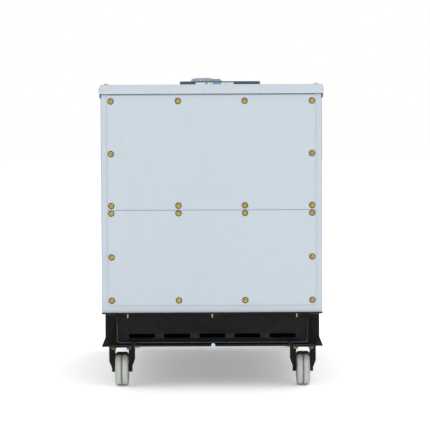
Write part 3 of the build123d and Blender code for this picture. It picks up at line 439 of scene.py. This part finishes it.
# knob scales: ring of ticks on the panel
def ring_ticks(name, cx, cz, r0, r1, a0, a1, n, y):
    bm = bmesh.new()
    for i in range(n):
        a = math.radians(a0 + (a1 - a0) * i / (n - 1)); c, s = math.cos(a), math.sin(a)
        wd = 0.0008 if i % 2 == 0 else 0.0005
        q = [(cx - (r * c - e * s), cz + r * s + e * c) for r, e in ((r0, -wd), (r1 if i % 2 == 0 else r0 + (r1 - r0) * .6, -wd), (r1 if i % 2 == 0 else r0 + (r1 - r0) * .6, wd), (r0, wd))]
        lo = [bm.verts.new((x, y, z)) for x, z in q]; hi = [bm.verts.new((x, y + 0.0003, z)) for x, z in q]
        bm.faces.new(lo); bm.faces.new(hi[::-1])
        for j in range(4):
            bm.faces.new((lo[j], lo[(j + 1) % 4], hi[(j + 1) % 4], hi[j]))
    link(name, bm, FACE, "root")


ring_ticks("current_scale", -0.080, 0.630, 0.032, 0.039, 225, -45, 21, 0.49995)
ring_ticks("arc_scale", 0.010, 0.630, 0.024, 0.029, 225, -45, 11, 0.49995)
ring_ticks("mode_scale", 0.090, 0.630, 0.024, 0.030, 150, 30, 3, 0.49995)

# window gasket on the cover
GY0, GY1 = 0.5571, 0.5592
bm = bmesh.new()
def frame_ring(bm, x0, x1, z0, z1, wd, y0, y1, R=0.012):
    def loop(off, y):
        pts = []
        for cx, cz, a0 in ((x1 - R, z1 - R, 0), (x0 + R, z1 - R, 90), (x0 + R, z0 + R, 180), (x1 - R, z0 + R, 270)):
            for i in range(7):
                a = math.radians(a0 + 15 * i)
                pts.append(bm.verts.new((cx + (R + off) * math.cos(a), y, cz + (R + off) * math.sin(a))))
        return pts
    A, Bq, C, D = loop(0, y0), loop(wd, y0), loop(wd * 0.8, y1), loop(wd * 0.2, y1)
    n = len(A)
    for p, q in ((A, Bq), (Bq, C), (C, D), (D, A)):
        for i in range(n):
            bm.faces.new((p[i], p[(i + 1) % n], q[(i + 1) % n], q[i]))
frame_ring(bm, -0.186, 0.186, 0.574, 0.786, 0.009, 0.5571, 0.5594)
link("window_gasket", bm, M["rubber"], "cover")

# small countersunk hinge screws on every hinge leaf, and screws round the latch plates
def screw_head(bm, c, r, axis, sign, h=0.0011, n=20):
    lathe(bm, [(0, h * 0.55), (r * 0.30, h * 0.60), (r * 0.34, h), (r * 0.8, h * 0.85), (r, h * 0.25), (r, -0.0004), (0, -0.0004)], c, axis, n, sign)


for t in (-1, 1):
    s = "left" if t < 0 else "right"
    bm = bmesh.new(); bd = bmesh.new()
    for z in (0.300, 0.720):
        for y, dz in ((0.5475, -0.026), (0.5475, 0.026), (0.5395, 0.0)):
            screw_head(bm, (t * 0.3234, y, z + dz), 0.0034, "X", t)
        for y, dz in ((0.484, -0.006), (0.484, 0.006), (0.506, 0.0)):
            screw_head(bd, (t * 0.3234, y, z + dz), 0.0030, "X", t)
    link("hinge_screws_frame_" + s, bm, M["zinc"], "root")
    for y, z in ((-0.055, 0.5395), (-0.0381, 0.51025), (-0.0719, 0.51025)):
        screw_head(bd, (t * 0.3240, y, z), 0.0026, "X", t)
    link("hinge_screws_door_" + s, bd, M["zinc"], "door_" + s)
    # lock barrel in the middle of each handle
    bm = bmesh.new()
    lathe(bm, [(0, 0.0008), (0.0052, 0.0008), (0.0058, 0.0016), (0.0072, 0.0013), (0.0074, -0.0006), (0, -0.0006)], (t * 0.3396, -0.055, 0.520), "X", 24, t)
    link("lock_barrel_" + s, bm, M["zinc"], "latch_" + s)
    bm = bmesh.new(); abox(bm, *sorted((t * 0.3401, t * 0.3406)), -0.0555, -0.0545, 0.5168, 0.5232)
    link("keyway_" + s, bm, INK, "latch_" + s)

# blank engraved plates and fixing screws on the control panel
PLATE = surface("blank_plate", (0.55, 0.56, 0.57), 0.38, metal=0.6, var=0.06, vscale=30, fine=500, bump=0.08, aniso=(14, 1, 1))
for k, (x, z, w, h) in enumerate(((-0.080, 0.680, 0.052, 0.009), (0.010, 0.668, 0.036, 0.008), (0.090, 0.670, 0.036, 0.008), (0.190, 0.770, 0.036, 0.008), (0.190, 0.660, 0.050, 0.009), (-0.190, 0.676, 0.070, 0.009),
                                  (-0.120, 0.370, 0.050, 0.010), (0.120, 0.370, 0.050, 0.010), (-0.140, 0.500, 0.150, 0.010), (0.175, 0.450, 0.120, 0.070))):
    bm = bmesh.new(); abox(bm, x - w / 2, x + w / 2, 0.4999, 0.5007, z - h / 2, z + h / 2)
    link("plate_%d" % k, bm, PLATE, "root", bevel=0.0003)
bm = bmesh.new()
for x in (-0.262, -0.13, 0.0, 0.13, 0.262):
    for z in (0.2475, 0.5005, 0.5275, 0.8215):
        if abs(x) > 0.2 or z < 0.3 or z > 0.8:
            screw_head(bm, (x, 0.5, z), 0.0052, "Y", 1, 0.0022)
for x, z in ((-0.120, 0.320), (0.120, 0.320)):
    for a in (45, 135, 225, 315):
        screw_head(bm, (x + 0.0280 * math.cos(math.radians(a)), 0.506, z + 0.0280 * math.sin(math.radians(a))), 0.0021, "Y", 1, 0.0012)
link("panel_fixings", bm, M["zinc"], "root")
# polarity marks beside the terminals
bm = bmesh.new()
abox(bm, 0.1500 - 0.010 + 0.022, 0.1500 + 0.010 + 0.022, 0.4999, 0.5006, 0.3183, 0.3217)
abox(bm, -0.1500 - 0.010 - 0.022, -0.1500 + 0.010 - 0.022, 0.4999, 0.5006, 0.3183, 0.3217)
abox(bm, -0.1737, -0.1703, 0.4999, 0.5005, 0.3100, 0.3182); abox(bm, -0.1737, -0.1703, 0.4999, 0.5005, 0.3218, 0.3300)
link("polarity_marks", bm, FACE, "root")
# insulating collars on the welding sockets
for k, x in enumerate((-0.120, 0.120)):
    bm = bmesh.new()
    lathe(bm, [(0.0243, 0.0), (0.0272, 0.0), (0.0272, 0.020), (0.0262, 0.0235), (0.0262, 0.0268), (0.0243, 0.0275), (0.0243, 0.0)], (x, 0.5062, 0.320), "Y", 40)
    link("socket_collar_%d" % k, bm, M["rubber"] if k else M["red_plastic"], "root")

# generator windings: copper end turns seen through the end bell
COPPER = surface("enamelled_copper", (0.50, 0.17, 0.06), 0.28, metal=0.8, var=0.25, vscale=50, fine=260, bump=0.3, aniso=(1, 9, 9), coat=0.5)
bm = bmesh.new()
for j in range(24):
    a = 2 * math.pi * j / 24
    pts = []
    for i in range(9):
        u = i / 8.0
        b = a + (u - 0.5) * 0.42
        r = 0.111 + 0.007 * math.sin(math.pi * u)
        pts.append((r * math.cos(b), 0.2860 + 0.0085 * math.sin(math.pi * u), 0.420 + r * math.sin(b)))
    tube(bm, pts, 0.0038, 6)
link("end_windings", bm, COPPER, "root")

# fuel hose from the tank to the engine
for k, pts in enumerate((((0.150, -0.240, 0.704), (0.150, -0.240, 0.693), (0.143, -0.236, 0.686), (0.130, -0.228, 0.684), (0.122, -0.220, 0.676), (0.121, -0.214, 0.64), (0.121, -0.212, 0.56), (0.121, -0.212, 0.47), (0.118, -0.212, 0.462), (0.1135, -0.212, 0.460)),)):
    P = [Vector(p) for p in pts]
    for _ in range(3):
        Q = [P[0]]
        for a, b in zip(P, P[1:]):
            Q += [a * 0.75 + b * 0.25, a * 0.25 + b * 0.75]
        P = Q + [P[-1]]
    bm = bmesh.new(); tube(bm, P, 0.0045, 10)
    link("fuel_hose_%d" % k, bm, M["rubber"], "root")
# starter and crankcase bolts
bm = bmesh.new()
for t in (-1, 1):
    for y in (-0.385, -0.355, -0.135, -0.100):
        for z in (0.32, 0.50):
            lathe(bm, [(0, 0.0062), (0.0052, 0.0062), (0.0064, 0.0050), (0.0064, 0.0), (0.0085, 0.0), (0.0085, -0.001), (0, -0.001)], (t * 0.108, y, z), "X", 6, t)
link("crankcase_bolts", bm, M["zinc"], "root", smooth=20)

# ------------------------------------------------------------------ stage, light and camera
def plane(name, size, z, mt):
    me = bpy.data.meshes.new(name)
    h = size / 2
    me.from_pydata([(-h, -h, z), (h, -h, z), (h, h, z), (-h, h, z)], [], [(0, 1, 2, 3)])
    o = bpy.data.objects.new(name, me)
    bpy.context.scene.collection.objects.link(o)
    me.materials.append(mt)
    return o


fm = bpy.data.materials.new("floor_pale"); fm.use_nodes = True
fm.node_tree.nodes["Principled BSDF"].inputs["Base Color"].default_value = (0.9, 0.9, 0.9, 1)
fm.node_tree.nodes["Principled BSDF"].inputs["Roughness"].default_value = 0.8
fm.node_tree.nodes["Principled BSDF"].inputs["Emission Color"].default_value = (1, 1, 1, 1)
fm.node_tree.nodes["Principled BSDF"].inputs["Emission Strength"].default_value = 0.3
floor = plane("floor", 60, 0.0, fm)
w = bpy.data.worlds.new("studio"); bpy.context.scene.world = w; w.use_nodes = True
w.node_tree.nodes["Background"].inputs[0].default_value = (1, 1, 1, 1)
w.node_tree.nodes["Background"].inputs[1].default_value = 1.0


def area(name, loc, target, size, power):
    l = bpy.data.lights.new(name, "AREA"); l.shape = "RECTANGLE"; l.size = size[0]; l.size_y = size[1]; l.energy = power
    o = bpy.data.objects.new(name, l); o.location = loc
    o.rotation_euler = (Vector(target) - Vector(loc)).to_track_quat("-Z", "Y").to_euler()
    bpy.context.scene.collection.objects.link(o)
    return o


area("key", (1.6, -4.2, 3.4), (0, 0, 0.5), (2.4, 2.0), 26)
area("fill", (-3.4, -2.2, 2.2), (0, 0, 0.5), (2.0, 2.0), 8)
area("back", (1.5, 4.5, 3.2), (0, 0, 0.5), (2.4, 2.0), 40)

DIST, CZ, CX0 = 5.6, 0.785, 0.0097
CENTRE_Z = 0.5055
SHIFT = -0.05
cam = bpy.data.cameras.new("camera"); co = bpy.data.objects.new("camera", cam)
bpy.context.scene.collection.objects.link(co)
pos = Vector((CX0, -0.556 - DIST, CZ)); aim = Vector((CX0, -0.556, CENTRE_Z - SHIFT * 1.247))
co.location = pos
q = (aim - pos).to_track_quat("-Z", "Y")
co.rotation_euler = (q.to_matrix().to_4x4() @ Matrix.Rotation(math.radians(-0.28), 4, "Z")).to_euler()
cam.sensor_width = 36.0
cam.lens = 36.0 * (aim - pos).length / (430 * 0.0029)
cam.clip_end = 100
cam.shift_y = SHIFT
cam.dof.use_dof = False
bpy.context.scene.camera = co
bpy.context.scene.view_settings.view_transform = "Standard"
bpy.context.scene.view_settings.look = "None"
